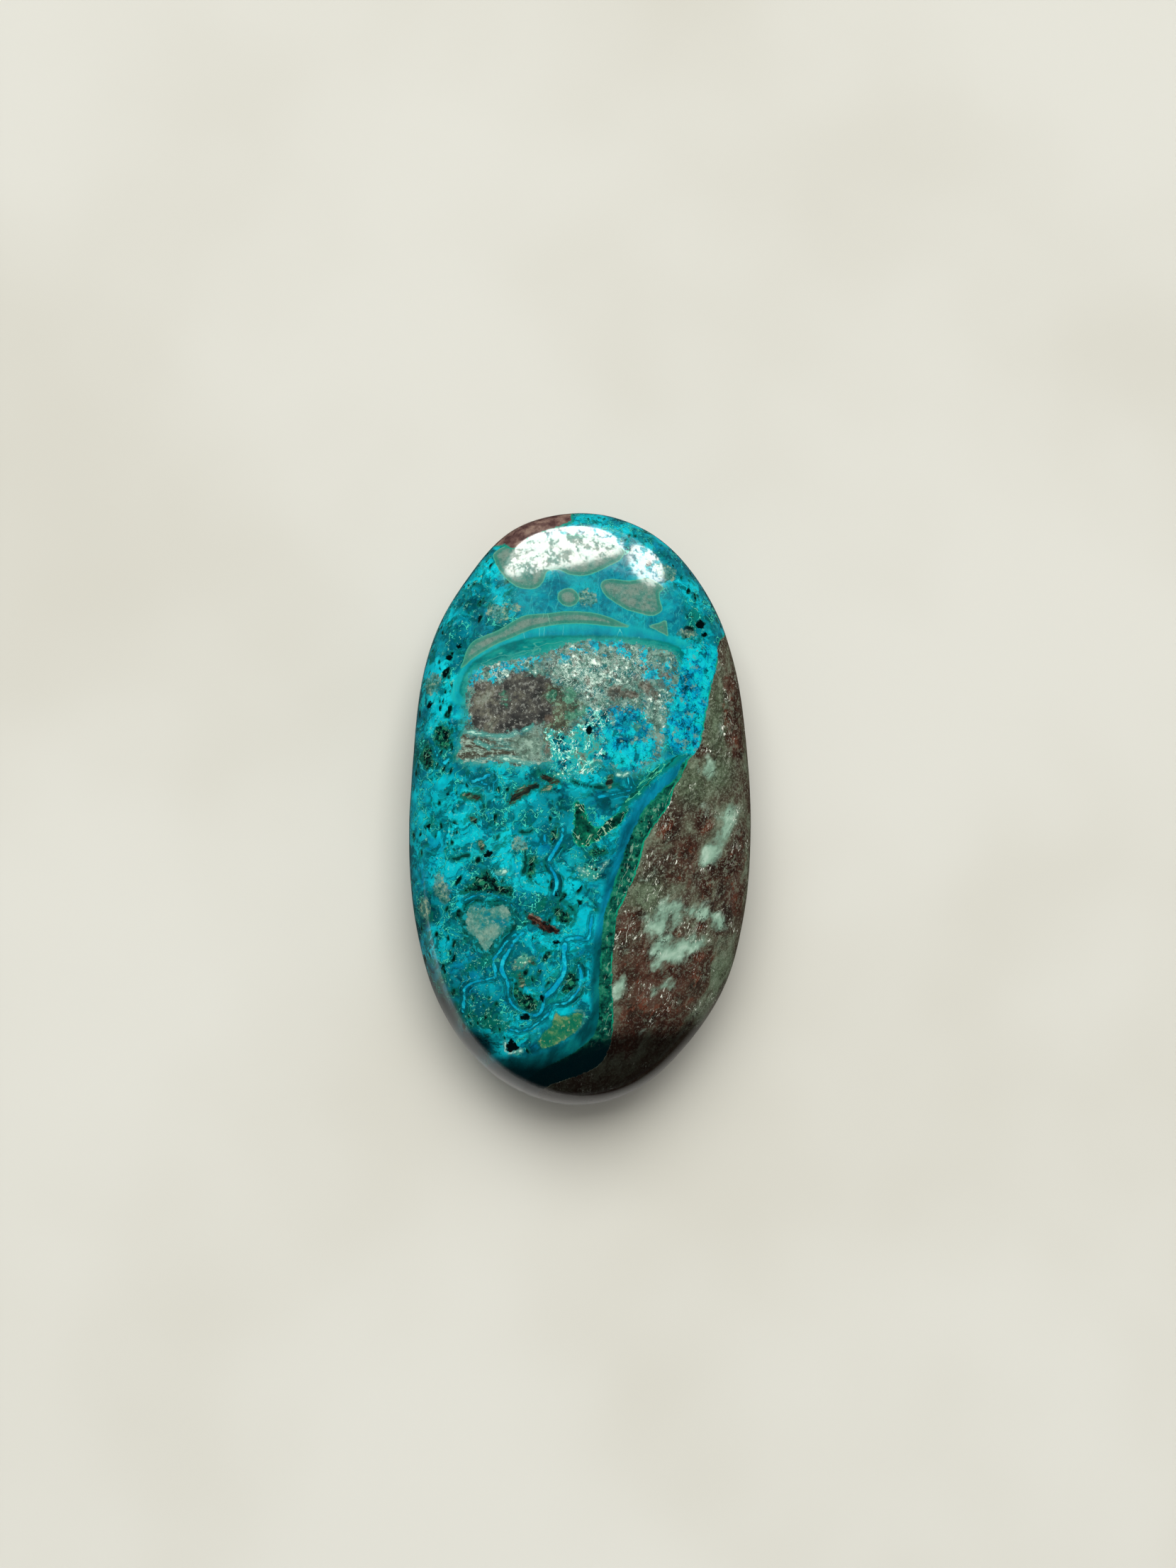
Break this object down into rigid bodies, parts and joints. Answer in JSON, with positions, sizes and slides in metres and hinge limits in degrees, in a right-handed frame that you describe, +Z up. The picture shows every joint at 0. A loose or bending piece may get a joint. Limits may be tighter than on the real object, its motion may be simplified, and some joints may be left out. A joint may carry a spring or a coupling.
{
  "type": "polished chrysocolla palm stone",
  "caption": "Oval polished palm stone with a domed face and a small flat back, turquoise chrysocolla with a band of brown and grey host rock along one side.",
  "frame": {"origin": "middle of the bounding box in X and Y, on the surface that the stone rests on", "axes": "+Z up out of the domed face, +Y along the length towards the narrower end, +X across the width towards the host rock"},
  "size_m": [0.0276, 0.048, 0.01],
  "materials": {
    "polished_stone": "gloss polish, turquoise chrysocolla with green malachite veins and brown to grey host rock"
  },
  "bodies": {
    "root": {"stone": "polished_stone"}
  },
  "joints": []
}
